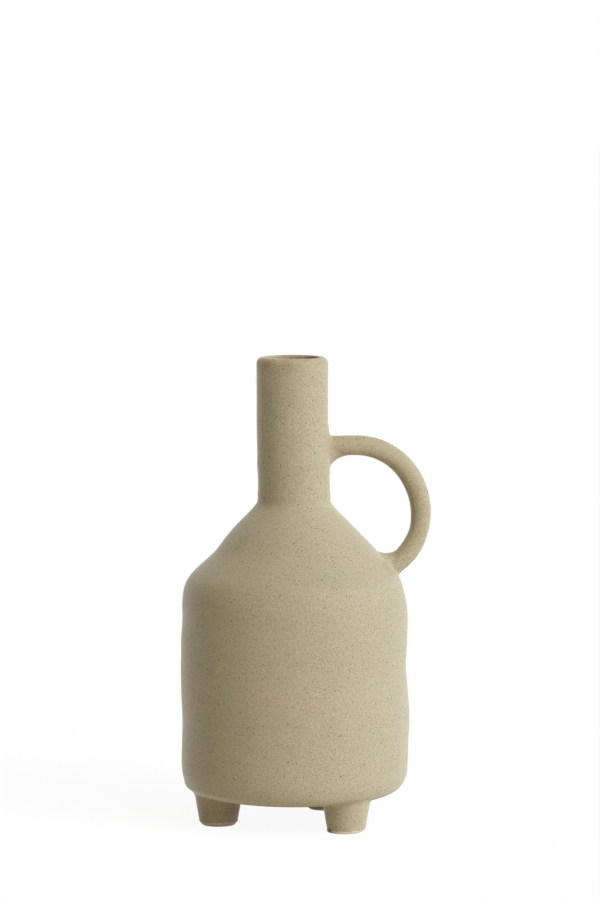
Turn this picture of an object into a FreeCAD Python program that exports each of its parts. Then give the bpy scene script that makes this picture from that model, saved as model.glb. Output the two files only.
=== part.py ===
import FreeCAD, Part
import math
import os
from collections import namedtuple

import Sketcher

# A bottle vase in speckled stoneware, built from the pieces that a potter joins with slip and fires
# as one: a floor with a rounded heel, a straight belly wall, a cone-shaped shoulder, a neck with a
# soft lip, a ring handle and three peg feet, set by eye a little off even thirds of the round.
# Lengths are in millimetres and angles in degrees.
#
# The ground is at Z = 0. The handle points along +X, and the origin lies under the middle of the
# whole vase with its handle, so the vase's own axis stands a little to the -X side of it.

DRIVING_SIZES = (
    ("foot_height", 18.6, "ground to the underside of the floor"),
    ("foot_tip_diameter", 23.9, "peg foot at the ground"),
    ("foot_root_diameter", 30.4, "peg foot at the underside of the floor"),
    ("foot_inset", 23.2, "outside of the belly in to the middle of a foot"),
    ("foot_left_turn", 184.4, "from the handle round to the foot on the far side"),
    ("foot_front_turn", 301.7, "from the handle round to the foot in front"),
    ("foot_rear_turn", 56, "from the handle round to the foot behind"),
    ("foot_tip_round", 1.8, "worn lower edge of a foot"),
    ("foot_joint_round", 2.5, "slip smoothed round the top of a foot"),
    ("floor_thickness", 6, "floor inside the heel"),
    ("wall_thickness", 5.5, "belly, shoulder and neck"),
    ("heel_round", 16.5, "outside rounding from the underside to the belly"),
    ("belly_diameter", 146.6, "straight wall, outside"),
    ("belly_height", 107.7, "straight wall, from the heel to the shoulder"),
    ("shoulder_round", 25.5, "outside rounding from the belly to the slope"),
    ("shoulder_slope", 42.6, "angle between the slope and the upright"),
    ("collar_round", 8, "hollow rounding from the slope to the neck"),
    ("neck_diameter", 46.2, "neck, outside"),
    ("neck_length", 89.55, "collar to the rim"),
    ("lip_outer_round", 4, "outside edge of the rim"),
    ("lip_inner_round", 1.3, "inside edge of the rim"),
    ("handle_thickness", 13.1, "round rod of the handle"),
    ("handle_bend_radius", 44, "ring of the handle, to the middle of the rod"),
    ("handle_stand_off", 15.9, "outside of the neck to the middle of the ring"),
    ("handle_drop", 11.55, "collar down to the middle of the ring"),
    ("handle_joint_round", 3.5, "slip smoothed round the ends of the handle"),
)

# Radii and levels that several pieces share, worked out from the driving sizes.
SHARED_PLACES = (
    ("belly_radius", "sizes.belly_diameter / 2"),
    ("neck_radius", "sizes.neck_diameter / 2"),
    ("mouth_radius", "neck_radius - sizes.wall_thickness"),
    ("heel_top", "sizes.foot_height + sizes.heel_round"),
    ("belly_top", "heel_top + sizes.belly_height"),
    ("rounds_inset", "(sizes.shoulder_round + sizes.collar_round) * (1 - cos(sizes.shoulder_slope))"),
    ("rounds_rise", "(sizes.shoulder_round + sizes.collar_round) * sin(sizes.shoulder_slope)"),
    ("slope_run", "belly_radius - neck_radius - rounds_inset"),
    ("collar_top", "belly_top + rounds_rise + slope_run / tan(sizes.shoulder_slope)"),
    ("rim", "collar_top + sizes.neck_length"),
    ("foot_ring_radius", "belly_radius - sizes.foot_inset"),
    ("foot_tip_radius", "sizes.foot_tip_diameter / 2"),
    ("foot_taper", "(sizes.foot_root_diameter - sizes.foot_tip_diameter) / 2 / sizes.foot_height"),
    ("handle_x", "neck_radius + sizes.handle_stand_off"),
    ("handle_z", "collar_top - sizes.handle_drop"),
    ("handle_top", "handle_z + sizes.handle_bend_radius"),
    ("handle_reach", "handle_x + sizes.handle_bend_radius + sizes.handle_thickness / 2"),
    ("axis_x", "(belly_radius - handle_reach) / 2"),
)

FEET = ("foot_left", "foot_front", "foot_rear")
FULL_TURN = 360
HALF_TURN = FULL_TURN / 2
QUARTER_TURN = FULL_TURN / 4
# A foot's cone is drawn up to this share of the heel's rounding before the heel is cut out of it.
FOOT_TOP_SHARE = 0.6
# The handle's rod starts inside the neck, at this share of its radius, before the neck is cut out.
ROD_START_SHARE = 0.5
# A rounding takes at most these shares of the wall or the foot that carries it.
OUTER_LIP_SHARE = 0.74
INNER_LIP_SHARE = 0.24
FOOT_TIP_SHARE = 0.2
# Two surfaces meet where they are nearer than this share of the wall, and two volumes agree
# where they differ by less than this share.
TOUCH_SHARE = 0.001
VOLUME_SHARE = 0.001
# An edge is tried against a surface at these shares of its length.
TRIED_SHARES = (0.1, 0.5, 0.9)

# An edge of an outline: its number in the sketch, and its two ends in the order they are passed.
Edge = namedtuple("Edge", "number first last")
# The sketcher's numbers for the points of an edge, and for its own origin and upright axis.
START_NUMBER, END_NUMBER, CENTRE_NUMBER = range(1, 4)
ORIGIN_NUMBER, UPRIGHT_NUMBER = range(-1, -3, -1)

doc = FreeCAD.newDocument("bottle_vase")


def fill_sheet(name, rows):
    """Writes a sheet of named cells, one row each, with a note beside those that have one."""
    sheet = doc.addObject("Spreadsheet::Sheet", name)
    for number, (alias, content, *note) in enumerate(rows, start=1):
        sheet.set(f"A{number}", alias)
        sheet.set(f"B{number}", str(content))
        sheet.setAlias(f"B{number}", alias)
        if note:
            sheet.set(f"C{number}", note[0])
    return sheet


sizes = fill_sheet("sizes", DRIVING_SIZES)
places = fill_sheet("places", [(alias, f"={formula}") for alias, formula in SHARED_PLACES])
doc.recompute()


def value(formula):
    """Gives the present value of a formula of the two sheets."""
    return float(places.evalExpression(formula))


# Bodies and sketches

def new_body(name, turn=None):
    """Starts a piece whose own origin is on the vase's axis, turned about it by a named angle."""
    body = doc.addObject("PartDesign::Body", name)
    body.Label = name
    body.setExpression("Placement.Base.x", "places.axis_x")
    if turn:
        body.setExpression("Placement.Rotation.Angle", turn)
    return body


def new_sketch(body, name, plane, off=None, across=None):
    """Starts a sketch on one of the piece's own planes, set off it or moved across it by a formula."""
    sketch = body.newObject("Sketcher::SketchObject", name)
    planes = (feature for feature in body.Origin.OriginFeatures if feature.Role == plane)
    sketch.AttachmentSupport = (next(planes), [""])
    sketch.MapMode = "FlatFace"
    if off:
        sketch.setExpression("AttachmentOffset.Base.z", off)
    if across:
        sketch.setExpression("AttachmentOffset.Base.x", across)
    return sketch


def draw_line(sketch, start, end):
    """Draws a straight edge between two points."""
    segment = Part.LineSegment(FreeCAD.Vector(*start, 0), FreeCAD.Vector(*end, 0))
    return Edge(sketch.addGeometry(segment, False), START_NUMBER, END_NUMBER)


def draw_arc(sketch, centre, radius, first_turn, last_turn):
    """Draws a round edge from one angle to another, either way round."""
    circle = Part.Circle(FreeCAD.Vector(*centre, 0), FreeCAD.Vector(0, 0, 1), radius)
    low, high = sorted((math.radians(first_turn), math.radians(last_turn)))
    number = sketch.addGeometry(Part.ArcOfCircle(circle, low, high), False)
    edge = Edge(number, START_NUMBER, END_NUMBER)
    return edge if first_turn < last_turn else Edge(edge.number, edge.last, edge.first)


def place_of(sketch, edge, end):
    """Gives the place of one end of an edge."""
    point = sketch.getPoint(edge.number, end)
    return point.x, point.y


def backwards(edges):
    """Gives the same edges, passed the other way."""
    return [Edge(edge.number, edge.last, edge.first) for edge in reversed(edges)]


def rule(sketch, kind, *target):
    """Adds a rule that has no size, such as two ends that meet."""
    sketch.addConstraint(Sketcher.Constraint(kind, *target))


def tie(sketch, kind, *target, to):
    """Adds a size that follows a formula of the two sheets."""
    number = sketch.addConstraint(Sketcher.Constraint(kind, *target, value(to)))
    sketch.setExpression(f"Constraints[{number}]", to)


def tie_point(sketch, edge, end, across=None, up=None):
    """Ties an end or the centre of an edge to a place across and a place up."""
    if across:
        tie(sketch, "DistanceX", ORIGIN_NUMBER, START_NUMBER, edge.number, end, to=across)
    if up:
        tie(sketch, "DistanceY", ORIGIN_NUMBER, START_NUMBER, edge.number, end, to=up)


def join(sketch, edge, following, smooth=False):
    """Joins the last end of one edge to the first end of the next."""
    kind = "Tangent" if smooth else "Coincident"
    rule(sketch, kind, edge.number, edge.last, following.number, following.first)


def close(sketch, runs):
    """Links runs of edges into a closed outline, with a straight edge from each run to the next."""
    for run, following in zip(runs, runs[1:] + runs[:1]):
        before, after = run[-1], following[0]
        link = draw_line(sketch, place_of(sketch, before, before.last), place_of(sketch, after, after.first))
        join(sketch, before, link)
        join(sketch, link, after)


def draw_circle(sketch, radius, up=None):
    """Draws a circle about the sketch's origin, or above it."""
    circle = Part.Circle(FreeCAD.Vector(0, value(up) if up else 0, 0), FreeCAD.Vector(0, 0, 1), value(radius))
    edge = Edge(sketch.addGeometry(circle, False), CENTRE_NUMBER, CENTRE_NUMBER)
    tie(sketch, "Radius", edge.number, to=radius)
    if up:
        rule(sketch, "PointOnObject", edge.number, CENTRE_NUMBER, UPRIGHT_NUMBER)
        tie_point(sketch, edge, CENTRE_NUMBER, up=up)
    else:
        rule(sketch, "Coincident", edge.number, CENTRE_NUMBER, ORIGIN_NUMBER, START_NUMBER)


def draw_axis(sketch, top, bottom):
    """Draws a straight edge down the sketch's upright axis, between two levels."""
    edge = draw_line(sketch, (0, value(top)), (0, value(bottom)))
    for end, level in ((edge.first, top), (edge.last, bottom)):
        rule(sketch, "PointOnObject", edge.number, end, UPRIGHT_NUMBER)
        tie_point(sketch, edge, end, up=level)
    return [edge]


def draw_heel(sketch, wall="0", floor="0"):
    """Draws the heel's quarter round, from the underside up, or the one inside the wall and floor."""
    radius = f"(sizes.heel_round - {floor})"
    across = f"places.belly_radius - {wall} - {radius}"
    heel = draw_arc(sketch, (value(across), value("places.heel_top")), value(radius), -QUARTER_TURN, 0)
    tie(sketch, "Radius", heel.number, to=radius)
    tie_point(sketch, heel, CENTRE_NUMBER, across, "places.heel_top")
    rule(sketch, "Vertical", heel.number, CENTRE_NUMBER, heel.number, heel.first)
    rule(sketch, "Horizontal", heel.number, CENTRE_NUMBER, heel.number, heel.last)
    return [heel]


def draw_shoulder(sketch, inset="0"):
    """Draws the shoulder from the belly up: a round, the slope, and the collar's hollow round.

    The slope is tangent to both rounds. Inside the wall, the rounds keep their centres.
    """
    slope = value("sizes.shoulder_slope")
    shapes = (
        ("places.belly_radius - sizes.shoulder_round", "places.belly_top",
         f"sizes.shoulder_round - {inset}", 0, slope),
        ("places.neck_radius + sizes.collar_round", "places.collar_top",
         f"sizes.collar_round + {inset}", HALF_TURN + slope, HALF_TURN),
    )
    rounds = []
    for across, up, radius, first_turn, last_turn in shapes:
        edge = draw_arc(sketch, (value(across), value(up)), value(radius), first_turn, last_turn)
        tie(sketch, "Radius", edge.number, to=radius)
        tie_point(sketch, edge, CENTRE_NUMBER, across, up)
        rounds.append(edge)
    lower, collar = rounds
    straight = draw_line(sketch, place_of(sketch, lower, lower.last), place_of(sketch, collar, collar.first))
    rule(sketch, "Horizontal", lower.number, CENTRE_NUMBER, lower.number, lower.first)
    rule(sketch, "Horizontal", collar.number, CENTRE_NUMBER, collar.number, collar.last)
    join(sketch, lower, straight, smooth=True)
    join(sketch, straight, collar, smooth=True)
    return [lower, straight, collar]


# Features

def turn_about_axis(body, name, sketch, kind="PartDesign::Revolution"):
    """Turns a sketch fully about its own upright axis, to add a solid or to cut one away."""
    feature = body.newObject(kind, name)
    feature.Profile = sketch
    feature.ReferenceAxis = (sketch, ["V_Axis"])
    feature.Angle = FULL_TURN
    body.Tip = feature
    doc.recompute()
    return feature


def round_edges(body, name, base, chosen, radius):
    """Rounds the edges of a feature that a test chooses."""
    numbers = [number for number, edge in enumerate(base.Shape.Edges, start=1) if chosen(edge)]
    if not numbers:
        raise RuntimeError(f"{name} finds no edge to round")
    feature = body.newObject("PartDesign::Fillet", name)
    feature.Base = (base, [f"Edge{number}" for number in numbers])
    feature.setExpression("Radius", radius)
    body.Tip = feature
    doc.recompute()
    return feature


def circle_at(radius, level):
    """Gives the test that chooses a level circle of some radius at some height."""
    touch = TOUCH_SHARE * value("sizes.wall_thickness")

    def chosen(edge):
        box = edge.BoundBox
        return (max(abs(box.ZMin - level), abs(box.ZMax - level)) < touch
                and abs(edge.Curve.Radius - radius) < touch)
    return chosen


def where_surfaces_meet(*shapes):
    """Gives the test that chooses an edge that lies on the surfaces of all the shapes."""
    touch = TOUCH_SHARE * value("sizes.wall_thickness")
    skins = [Part.makeCompound(shape.Faces) for shape in shapes]

    def chosen(edge):
        start, length = edge.FirstParameter, edge.LastParameter - edge.FirstParameter
        points = [edge.valueAt(start + share * length) for share in TRIED_SHARES]
        return all(skin.distToShape(Part.Vertex(point))[0] < touch for skin in skins for point in points)
    return chosen


def pad_tube(body, name, outside, inside, level, length):
    """Builds a straight stretch of round wall between two radii, from a level up."""
    sketch = new_sketch(body, f"{name}_rings", "XY_Plane", off=level)
    for radius in (outside, inside):
        draw_circle(sketch, radius)
    pad = body.newObject("PartDesign::Pad", name)
    pad.Profile = sketch
    pad.setExpression("Length", length)
    body.Tip = pad
    doc.recompute()
    return pad


def outside_form(body):
    """Builds the whole outside of the vase as one turned solid, for a piece to be set on."""
    sketch = new_sketch(body, f"{body.Name}_form_outline", "YZ_Plane")
    heel = draw_heel(sketch)
    shoulder = draw_shoulder(sketch)
    axis = draw_axis(sketch, "places.rim", "sizes.foot_height")
    collar = shoulder[-1]
    neck = draw_line(sketch, place_of(sketch, collar, collar.last),
                     (value("places.neck_radius"), value("places.rim")))
    join(sketch, collar, neck)
    rule(sketch, "Vertical", neck.number)
    tie_point(sketch, neck, neck.last, up="places.rim")
    close(sketch, [heel, [*shoulder, neck], axis])
    return turn_about_axis(body, f"{body.Name}_form", sketch)


def set_on_form(body, form, added, joint_round):
    """Smooths the joint between an added feature and the form, then takes the form away."""
    addition = added.AddSubShape.copy()
    addition.Placement = added.Placement.multiply(addition.Placement)
    meeting = where_surfaces_meet(form.Shape, addition)
    joint = round_edges(body, f"{body.Name}_joint", added, meeting, joint_round)
    seat = turn_about_axis(body, f"{body.Name}_seat", form.Profile[0], "PartDesign::Groove")
    taken = joint.Shape.Volume - seat.Shape.Volume
    if abs(taken - form.Shape.Volume) > VOLUME_SHARE * form.Shape.Volume:
        raise RuntimeError(f"{body.Name} isn't cut to the vase's outside")


# Pieces

def make_floor():
    """The floor, turned up at its rounded heel to meet the belly wall."""
    body = new_body("floor")
    sketch = new_sketch(body, "floor_outline", "XZ_Plane")
    outside = draw_heel(sketch)
    inside = draw_heel(sketch, "sizes.wall_thickness", "sizes.floor_thickness")
    axis = draw_axis(sketch, "sizes.foot_height + sizes.floor_thickness", "sizes.foot_height")
    close(sketch, [outside, backwards(inside), axis])
    turn_about_axis(body, "floor_turned", sketch)
    return body


def make_belly():
    """The straight wall, standing on the heel."""
    body = new_body("belly")
    inside = "places.belly_radius - sizes.wall_thickness"
    pad_tube(body, "belly_wall", "places.belly_radius", inside, "places.heel_top", "sizes.belly_height")
    return body


def make_shoulder():
    """The slope from the belly to the collar, of even thickness."""
    body = new_body("shoulder")
    sketch = new_sketch(body, "shoulder_outline", "XZ_Plane")
    outside = draw_shoulder(sketch)
    inside = draw_shoulder(sketch, "sizes.wall_thickness")
    close(sketch, [outside, backwards(inside)])
    turn_about_axis(body, "shoulder_turned", sketch)
    return body


def make_neck():
    """The neck, a plain tube with both edges of its rim rounded."""
    body = new_body("neck")
    radii = ("places.neck_radius", "places.mouth_radius")
    tube = pad_tube(body, "neck_wall", *radii, "places.collar_top", "sizes.neck_length")
    rim = value("places.rim")
    outer = circle_at(value(radii[0]), rim)
    outer_round = f"min(sizes.lip_outer_round; {OUTER_LIP_SHARE} * sizes.wall_thickness)"
    lip = round_edges(body, "lip_outside", tube, outer, outer_round)
    inner = circle_at(value(radii[1]), rim)
    inner_round = f"min(sizes.lip_inner_round; {INNER_LIP_SHARE} * sizes.wall_thickness)"
    round_edges(body, "lip_inside", lip, inner, inner_round)
    return body


def make_handle():
    """The ring handle: a round rod that leaves the neck level, and bends down to the shoulder."""
    body = new_body("handle")
    form = outside_form(body)
    start = f"places.neck_radius * {ROD_START_SHARE}"

    path = new_sketch(body, "handle_path", "XZ_Plane")
    centre = (value("places.handle_x"), value("places.handle_z"))
    top = value("places.handle_top")
    level_run = draw_line(path, (value(start), top), (centre[0], top))
    ring = draw_arc(path, centre, value("sizes.handle_bend_radius"), QUARTER_TURN, -QUARTER_TURN)
    tie(path, "Radius", ring.number, to="sizes.handle_bend_radius")
    tie_point(path, ring, CENTRE_NUMBER, "places.handle_x", "places.handle_z")
    rule(path, "Vertical", ring.number, CENTRE_NUMBER, ring.number, ring.last)
    join(path, level_run, ring, smooth=True)
    rule(path, "Horizontal", level_run.number)
    tie_point(path, level_run, level_run.first, across=start)

    section = new_sketch(body, "handle_section", "YZ_Plane", off=start)
    draw_circle(section, "sizes.handle_thickness / 2", up="places.handle_top")
    rod = body.newObject("PartDesign::AdditivePipe", "handle_rod")
    rod.Profile = section
    rod.Spine = (path, ["Edge1", "Edge2"])
    body.Tip = rod
    doc.recompute()
    set_on_form(body, form, rod, "sizes.handle_joint_round")
    return body


def make_foot(name):
    """A peg foot: a short cone that widens upwards into the heel, with a worn lower edge."""
    body = new_body(name, f"sizes.{name}_turn")
    form = outside_form(body)
    top = f"(sizes.foot_height + {FOOT_TOP_SHARE} * sizes.heel_round)"
    radii = ("places.foot_tip_radius", f"places.foot_tip_radius + places.foot_taper * {top}")

    sketch = new_sketch(body, f"{name}_outline", "XZ_Plane", across="places.foot_ring_radius")
    side = draw_line(sketch, (value(radii[0]), 0), (value(radii[1]), value(top)))
    tie_point(sketch, side, side.first, across=radii[0])
    rule(sketch, "PointOnObject", side.number, side.first, ORIGIN_NUMBER)
    tie_point(sketch, side, side.last, across=radii[1], up=top)
    axis = draw_line(sketch, (0, value(top)), (0, 0))
    rule(sketch, "Coincident", axis.number, axis.last, ORIGIN_NUMBER, START_NUMBER)
    rule(sketch, "PointOnObject", axis.number, axis.first, UPRIGHT_NUMBER)
    tie_point(sketch, axis, axis.first, up=top)
    close(sketch, [[side], [axis]])
    cone = turn_about_axis(body, f"{name}_cone", sketch)

    worn = circle_at(value("places.foot_tip_radius"), 0)
    worn_round = f"min(sizes.foot_tip_round; {FOOT_TIP_SHARE} * sizes.foot_tip_diameter)"
    set_on_form(body, form, cone, "sizes.foot_joint_round")
    round_edges(body, f"{name}_tip", body.Tip, worn, worn_round)
    return body


def check_document(pieces):
    """Stops if an object of the document failed, or a piece isn't one valid solid."""
    for item in doc.Objects:
        if {"Invalid", "Error"} & set(item.State):
            raise RuntimeError(f"{item.Name} failed: {item.State}")
    for piece in pieces:
        if piece.Shape.isNull() or not piece.Shape.isValid() or len(piece.Shape.Solids) != 1:
            raise RuntimeError(f"{piece.Label} isn't one valid solid")


pieces = [make_floor(), make_belly(), make_shoulder(), make_neck(), make_handle()]
pieces += [make_foot(name) for name in FEET]
doc.recompute()
check_document(pieces)

os.makedirs("parts", exist_ok=True)
for piece in pieces:
    piece.Shape.exportStep(os.path.join("parts", f"{piece.Label}.step"))
    box = piece.Shape.optimalBoundingBox()
    print(f"{piece.Label}: volume {piece.Shape.Volume:.1f}, X {box.XMin:.2f} to {box.XMax:.2f}, "
          f"Z {box.ZMin:.2f} to {box.ZMax:.2f}")
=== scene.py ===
"""Dresses a bottle vase in speckled stoneware for a plain studio picture.

The vase stands on three peg feet. A cone-shaped shoulder joins its straight belly to a long neck, and
a ring handle runs from the neck to the shoulder. Each piece of clay is a closed mesh of its own, and
one hand-made unevenness runs through them all, so that they still meet. Lengths are in metres and
angles in degrees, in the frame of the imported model: the ground is at Z = 0, and the handle points
along +X.
"""

import logging
import math
from dataclasses import dataclass
from enum import Enum
from functools import cached_property
from typing import Any, Union

import bpy
import numpy as np
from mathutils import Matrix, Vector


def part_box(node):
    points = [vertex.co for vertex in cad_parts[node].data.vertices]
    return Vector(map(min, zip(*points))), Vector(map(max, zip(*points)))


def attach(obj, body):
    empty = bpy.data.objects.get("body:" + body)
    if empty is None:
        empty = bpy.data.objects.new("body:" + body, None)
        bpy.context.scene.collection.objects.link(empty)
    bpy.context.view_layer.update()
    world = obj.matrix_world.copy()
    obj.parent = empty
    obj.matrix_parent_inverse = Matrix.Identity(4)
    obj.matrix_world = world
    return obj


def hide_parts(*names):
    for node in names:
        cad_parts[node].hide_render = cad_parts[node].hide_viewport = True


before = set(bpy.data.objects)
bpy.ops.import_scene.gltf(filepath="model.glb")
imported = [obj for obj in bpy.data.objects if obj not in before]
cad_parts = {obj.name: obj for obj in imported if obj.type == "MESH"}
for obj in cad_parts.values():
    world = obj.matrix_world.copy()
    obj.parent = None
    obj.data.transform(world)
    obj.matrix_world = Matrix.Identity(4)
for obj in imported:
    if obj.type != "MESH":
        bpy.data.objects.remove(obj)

log = logging.getLogger("vase")

MM = 0.001
FULL_TURN = 360.0
HALF_TURN = FULL_TURN / 2
QUARTER_TURN = FULL_TURN / 4
ROUND_COLUMNS = 288
CORNER_TURN = 40.0
Points = np.ndarray
Spot = Union[Points, tuple[float, float]]
Colour = tuple[float, float, float, float]
WHITE: Colour = (1, 1, 1, 1)


def smooth(share: Points) -> Points:
    """Eases a share from 0 to 1: 3 share squared minus 2 share cubed, held at both ends."""
    held = np.clip(share, 0, 1)
    return held * held * (3 - 2 * held)


def straight(start: Spot, end: Spot, step: float) -> Points:
    """Lays points along a straight stretch of an outline: start + share * (end - start).

    Args:
        start: Radius and level where the stretch starts.
        end: Radius and level where it ends.
        step: Distance between two points, about.

    Returns:
        Points of radius and level, one a row.
    """
    count = max(1, round(math.dist(start, end) / step))
    share = np.linspace(0, 1, count + 1)[:, None]
    return np.array(start) + share * (np.array(end) - np.array(start))


def rounded(centre: Spot, radius: float, first: float, last: float, step: float) -> Points:
    """Lays points along a round stretch: centre + radius * (cos turn, sin turn).

    Args:
        centre: Radius and level of the round's middle.
        radius: Radius of the round.
        first: Angle where it starts, from outward, in degrees.
        last: Angle where it ends, in degrees.
        step: Distance between two points, about.

    Returns:
        Points of radius and level, one a row.
    """
    count = max(2, round(radius * math.radians(abs(last - first)) / step))
    turn = np.radians(np.linspace(first, last, count + 1))
    return np.array(centre) + radius * np.stack([np.cos(turn), np.sin(turn)], axis=-1)


def placed(name: str, data: bpy.types.ID) -> bpy.types.Object:
    """Puts a new object with some data into the scene."""
    made = bpy.data.objects.new(name, data)
    bpy.context.scene.collection.objects.link(made)
    return made


def strung(*stretches: Points) -> Points:
    """Strings stretches into one outline, with each shared point once."""
    return np.concatenate([stretches[0], *(stretch[1:] for stretch in stretches[1:])])


@dataclass
class Skin:
    """A closed surface on a grid: each row of points runs once round the piece, anticlockwise as seen
    from where the rows lead, so that the faces point outwards. Each end of the grid closes on a pole,
    or where there are none the last row joins the first. Corners are the numbers of the sharp rows."""

    grid: Points
    poles: Points | None
    corners: Points

    def faces(self) -> list[list[int]]:
        """Works out the faces: a quad between neighbouring rows and columns, and a fan at each pole.

        Returns:
            The numbers of each face's corners.
        """
        rows, columns = self.grid.shape[:2]
        number = np.arange(rows * columns).reshape(rows, columns)
        looped = self.poles is None
        low = number if looped else number[:-1]
        high = np.roll(number, -1, axis=0) if looped else number[1:]
        quads = np.stack([low, np.roll(low, -1, axis=1), np.roll(high, -1, axis=1), high], axis=-1)
        quads = quads.reshape(-1, 4).tolist()
        if looped:
            return quads
        first, last = number[0], number[-1]
        start, end = np.full(columns, rows * columns), np.full(columns, rows * columns + 1)
        fans = np.concatenate([np.stack([start, np.roll(first, -1), first], axis=-1),
                               np.stack([end, last, np.roll(last, -1)], axis=-1)])
        return quads + fans.tolist()

    def build(self, name: str) -> bpy.types.Object:
        """Makes the mesh object, smooth but for the rows that are corners.

        Args:
            name: The piece's name.

        Returns:
            The object, at the origin, with its place in its mesh.
        """
        columns = self.grid.shape[1]
        points = self.grid.reshape(-1, 3)
        if self.poles is not None:
            points = np.concatenate([points, self.poles])
        mesh = bpy.data.meshes.new(name)
        mesh.from_pydata(points.tolist(), [], self.faces())
        mesh.shade_smooth()
        ends = np.zeros(len(mesh.edges) * 2, np.int32)
        mesh.edges.foreach_get("vertices", ends)
        row = ends.reshape(-1, 2) // columns
        sharp = (row[:, 0] == row[:, 1]) & np.isin(row[:, 0], self.corners)
        mesh.attributes.new("sharp_edge", "BOOLEAN", "EDGE").data.foreach_set("value", sharp)
        return placed(name, mesh)


class Seat(Enum):
    """The stretch of the vase's outside that a handle or a foot is set on."""

    SIDE = "shoulder and neck"
    UNDERSIDE = "underside and heel"


@dataclass(frozen=True)
class VaseForm:
    """The outline that the pieces share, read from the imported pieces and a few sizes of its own."""

    axis: float
    belly_radius: float
    neck_radius: float
    underside: float
    heel_top: float
    belly_top: float
    collar_top: float
    rim: float
    wall: float = 5.5 * MM
    floor: float = 6 * MM
    shoulder_round: float = 25.5 * MM
    shoulder_slope: float = 42.6
    collar_round: float = 8 * MM
    fine: float = 1.0 * MM
    coarse: float = 3.0 * MM
    probe: float = 0.01 * MM
    landing_steps: int = 4

    @classmethod
    def from_frame(cls) -> "VaseForm":
        """Reads the vase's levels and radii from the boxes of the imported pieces."""
        belly_low, belly_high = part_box("belly")
        floor_low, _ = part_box("floor")
        neck_low, neck_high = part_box("neck")
        return cls(axis=(belly_low.x + belly_high.x) / 2, belly_radius=(belly_high.x - belly_low.x) / 2,
                   neck_radius=(neck_high.x - neck_low.x) / 2, underside=floor_low.z,
                   heel_top=belly_low.z, belly_top=belly_high.z, collar_top=neck_low.z, rim=neck_high.z)

    @property
    def heel_round(self) -> float:
        """The outside rounding from the underside up to the belly."""
        return self.heel_top - self.underside

    @property
    def bore(self) -> float:
        """The radius of the hole down the neck."""
        return self.neck_radius - self.wall

    def heel(self, wall: float = 0.0, floor: float = 0.0) -> Points:
        """The heel's quarter round from the underside up, or the one inside a wall and a floor."""
        radius = self.heel_round - floor
        centre = (self.belly_radius - wall - radius, self.heel_top)
        return rounded(centre, radius, -QUARTER_TURN, 0, self.fine)

    def shoulder(self, inset: float = 0.0) -> Points:
        """The shoulder from the belly up: a round, the slope, and the collar's hollow round.

        Args:
            inset: How far inside the outside surface it runs.

        Returns:
            Points of radius and level, one a row.
        """
        lower = rounded((self.belly_radius - self.shoulder_round, self.belly_top),
                        self.shoulder_round - inset, 0, self.shoulder_slope, self.fine)
        collar = rounded((self.neck_radius + self.collar_round, self.collar_top),
                         self.collar_round + inset, HALF_TURN + self.shoulder_slope, HALF_TURN, self.fine)
        return strung(lower, straight(lower[-1], collar[0], self.fine), collar)

    def clearance(self, points: Points, seat: Seat) -> Points:
        """Tells how far points stand off the outside surface, and below zero how far they are in it.

        Off the side it is the point's radius minus the outline's radius at that level. Off the underside
        it is the outline's level at that radius minus the point's level.
        """
        radius = np.hypot(points[..., 0] - self.axis, points[..., 1])
        heel = self.heel()
        if seat is Seat.UNDERSIDE:
            return np.interp(radius, heel[:, 0], heel[:, 1]) - points[..., 2]
        side = np.concatenate([heel, self.shoulder(), [(self.neck_radius, self.rim)]])
        return radius - np.interp(points[..., 2], side[:, 1], side[:, 0])

    def land(self, points: Points, seat: Seat, depth: float) -> Points:
        """Moves points to some depth under the outside surface.

        Each step moves a point against the slope of its clearance, by that clearance over the slope's
        length.
        """
        landed = points.copy()
        for _ in range(self.landing_steps):
            sides = [[self.clearance(landed + way * along, seat) for way in (self.probe, -self.probe)]
                     for along in np.eye(3)]
            slope = np.stack([(ahead - behind) / (2 * self.probe) for ahead, behind in sides], axis=-1)
            length = np.linalg.norm(slope, axis=-1, keepdims=True)
            off = self.clearance(landed, seat)[..., None]
            landed = landed - (off / length + depth) * slope / length
        return landed


@dataclass(frozen=True)
class Ring:
    """A swell or a hollow that the throwing left all round the wall at some level, or a wander of the
    whole wall along X there."""

    level: float
    height: float
    out: float

    def at(self, level: Points) -> Points:
        """A bell over the level: out * exp(-((level - middle) / height)^2)."""
        return self.out * np.exp(-((level - self.level) / self.height) ** 2)


@dataclass(frozen=True)
class Press:
    """A dent or a swell that a hand left on one side, at a turn about the axis."""

    turn: float
    width: float
    ring: Ring

    def at(self, turn: Points, level: Points) -> Points:
        """The ring's bell over the level, times a bell over the turn."""
        away = (turn - self.turn + HALF_TURN) % FULL_TURN - HALF_TURN
        return self.ring.at(level) * np.exp(-(away / self.width) ** 2)


def ring(level: float, height: float, out: float) -> Ring:
    """Makes a ring from its level, height and depth in millimetres."""
    return Ring(level * MM, height * MM, out * MM)


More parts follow.
